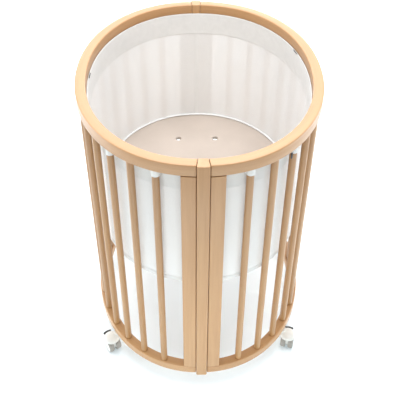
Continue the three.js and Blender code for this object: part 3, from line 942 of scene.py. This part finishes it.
def add_caster_bracket(name, side, end):
    """The domed cap and the arm that joins it to the bottom rail."""
    node = f"caster_bracket_{name}"
    mirror = np.array((side, -end))
    cap = on_oval(CASTER_ARC, CAP_OUTSET) * mirror
    dome = placed(lathe(cap_profile()), Matrix.Translation((*cap, 0)))
    start, finish = on_oval(CASTER_ARC) * mirror, on_oval(CASTER_ARC, ARM_OUTSET) * mirror
    facing = math.atan2(*(finish - start)[::-1])
    outline = []
    for centre, first in ((start, facing + math.pi / 2), (finish, facing - math.pi / 2)):
        turn = np.linspace(first, first + math.pi, 17)
        outline.append(centre + ARM_RADIUS * np.column_stack([np.cos(turn), np.sin(turn)]))
    arm_top = BOTTOM_RAIL[0] - JOINT_GAP
    arm = loft(upright(np.concatenate(outline), CAP_BOTTOM + CAP_RECESS[1], arm_top, ARM_EASE))
    bracket = make_object(f"{node}_cap", *merge([dome, arm]), WHITE_PLASTIC)
    finish_piece(bracket, "crib_frame", "white_plastic", node)


def tread_ripple(turn, radius):
    """Square-shouldered ribs across the tread."""
    if radius < WHEEL_RADIUS - 0.5 * MM:
        return 0
    return RIB_DEPTH * np.clip(0.5 + 1.2 * np.sin(TREAD_RIBS * turn), 0, 1)


def tread_profile():
    """Across the tread, from its bore round the outside, as (radius, height)."""
    return [
        (TREAD_INNER, TREAD_EASE), (TREAD_INNER + TREAD_EASE, 0), (WHEEL_RADIUS - TREAD_CORNER, 0),
        (WHEEL_RADIUS, TREAD_CORNER), (WHEEL_RADIUS, WHEEL_WIDTH - TREAD_SHOULDER),
        (WHEEL_RADIUS - TREAD_SHOULDER, WHEEL_WIDTH), (TREAD_INNER, WHEEL_WIDTH),
    ]


def disc_profile():
    """A rim, a dish inside it, a raised hub and a sunk pin."""
    radius = TREAD_INNER - DISC_PLAY
    face = WHEEL_WIDTH - DISC_SUNK
    dish, hub, pin = face - DISC_DISH, face - HUB_SUNK, face - PIN_SUNK
    return [
        (0, DISC_BACK), (radius, DISC_BACK), (radius, face),
        (radius - DISC_RIM, face), (radius - 2 * DISC_RIM, dish),
        (HUB_RADIUS + HUB_SLOPE, dish), (HUB_RADIUS, hub),
        (PIN_RADIUS, hub), (PIN_RADIUS - PIN_SLOPE, pin), (0, pin),
    ]


def add_wheel(name, hand, place, out):
    """A rubber tread with ribs round a white plastic disc."""
    node = f"wheel_{name}_{hand}"
    turn = Vector((0, 0, 1)).rotation_difference(out).to_matrix().to_4x4()
    matrix = Matrix.Translation(place + out * WHEEL_FROM_WEB) @ turn
    tread = placed(lathe(tread_profile(), 288, tread_ripple), matrix)
    tread_piece = make_object(f"{node}_tread", *tread, TREAD_RUBBER)
    finish_piece(tread_piece, node, "grey_tread", node)
    disc = placed(lathe(disc_profile()), matrix)
    disc_piece = make_object(f"{node}_disc", *disc, SIDE_PLASTIC)
    finish_piece(disc_piece, node, "white_plastic")


def dress_node(name, material, edge):
    """Keeps a CAD node, with its edges rounded and a real finish."""
    node = frame["nodes"][name]
    node.data.materials.clear()
    node.data.materials.append(material)
    weld = node.modifiers.new("weld", "WELD")
    weld.merge_threshold = WELD_REACH
    bevel = node.modifiers.new("edges", "BEVEL")
    bevel.width = edge
    bevel.segments = 2
    bevel.limit_method = "ANGLE"
    bevel.angle_limit = math.radians(SMOOTH_ANGLE)


def add_casters():
    """Four casters: a bracket and its cap, a yoke, two wheels and, at the front, a brake lever."""
    joints = {joint["name"]: joint for joint in frame["joints"]}
    for side, side_name in ((-1, "left"), (1, "right")):
        for end, end_name in ((-1, "front"), (1, "rear")):
            name = f"{end_name}_{side_name}"
            add_caster_bracket(name, side, end)
            dress_node(f"caster_yoke_{name}", WHITE_PLASTIC, YOKE_EDGE)
            for hand, way in (("a", 1), ("b", -1)):
                joint = joints[f"wheel_roll_{name}_{hand}"]
                add_wheel(name, hand, Vector(joint["pos_m"]), Vector(joint["axis"]) * way)
            if end < 0:
                dress_node(f"brake_lever_{name}", DARK_PLASTIC, LEVER_EDGE)


# Stage
def add_floor():
    """A plain pale floor, far wider than the view."""
    material, _, _, shader = new_material("studio_floor")
    shader.inputs["Base Color"].default_value = (0.90, 0.965, 1.0, 1)
    shader.inputs["Roughness"].default_value = 0.9
    corners = ((-1, -1), (1, -1), (1, 1), (-1, 1))
    verts = [(FLOOR_REACH * x, FLOOR_REACH * y, 0) for x, y in corners]
    make_object("studio_floor", verts, [(0, 1, 2, 3)], material)


def area_light(name, place, target, size, power, colour):
    """A soft light at a place, turned to a target: size is (width, height), power in watts."""
    light = bpy.data.lights.new(name, "AREA")
    light.shape = "RECTANGLE"
    light.size, light.size_y = size
    light.energy = power
    light.color = colour
    obj = bpy.data.objects.new(name, light)
    obj.location = place
    obj.rotation_euler = (Vector(target) - Vector(place)).to_track_quat("-Z", "Y").to_euler()
    obj.visible_camera = False
    bpy.context.scene.collection.objects.link(obj)


def add_lights():
    """Strong light from behind and low at the sides, and a little from above and the front."""
    world = bpy.data.worlds.new("studio")
    world.use_nodes = True
    background = world.node_tree.nodes["Background"]
    background.inputs["Color"].default_value = (0.94, 0.97, 1, 1)
    background.inputs["Strength"].default_value = 0.5
    bpy.context.scene.world = world
    area_light("overhead", (0, 0.05, 2.35), (0, 0, 0.4), (1.7, 1.5), 50, (0.95, 0.97, 1))
    area_light("rear_high", (0, 4.2, 4.4), (0, 0, 0.8), (4.4, 2.6), 132, (0.96, 0.98, 1))
    area_light("back_low", (0, 3.0, 0.8), (0, 0, 0.1), (3.4, 1.2), 115, (0.95, 0.98, 1))
    area_light("left_low", (-2.8, 0.8, 0.7), (0, 0, 0.1), (2.4, 1.0), 65, (0.95, 0.98, 1))
    area_light("right_low", (2.8, 0.8, 0.7), (0, 0, 0.1), (2.4, 1.0), 65, (0.95, 0.98, 1))
    area_light("front_fill", (-0.4, -3.4, 2.4), (0, 0, 0.5), (3, 1.6), 22, (1, 0.95, 0.86))
    area_light("front_low", (0, -1.0, 0.34), (0, -0.4, 0.1), (1.8, 0.3), 4.5, (0.8, 0.94, 1))


def add_camera():
    """The shot's camera, from in front and above."""
    camera = bpy.data.cameras.new("camera")
    camera.sensor_width = CAMERA_SENSOR
    camera.lens = CAMERA_LENS
    obj = bpy.data.objects.new("camera", camera)
    pitch, yaw, roll = (math.radians(v) for v in CAMERA_ANGLES)
    ahead = Vector((math.sin(yaw) * math.cos(pitch), math.cos(yaw) * math.cos(pitch), -math.sin(pitch)))
    right = ahead.cross(Vector((0, 0, 1))).normalized()
    up = right.cross(ahead)
    rolled_right = right * math.cos(roll) + up * math.sin(roll)
    rolled_up = up * math.cos(roll) - right * math.sin(roll)
    turn = Matrix((rolled_right, rolled_up, -ahead)).transposed()
    obj.matrix_world = Matrix.Translation(CAMERA_PLACE) @ turn.to_4x4()
    bpy.context.scene.collection.objects.link(obj)
    bpy.context.scene.camera = obj


add_rails()
add_stiles()
add_slats()
add_posts()
add_base()
add_liner()
add_casters()
dress_node("base_bracket_front", STEEL, STEEL_EDGE)
dress_node("base_bracket_rear", STEEL, STEEL_EDGE)
add_floor()
add_lights()
add_camera()
bpy.context.scene.view_settings.view_transform = "Standard"
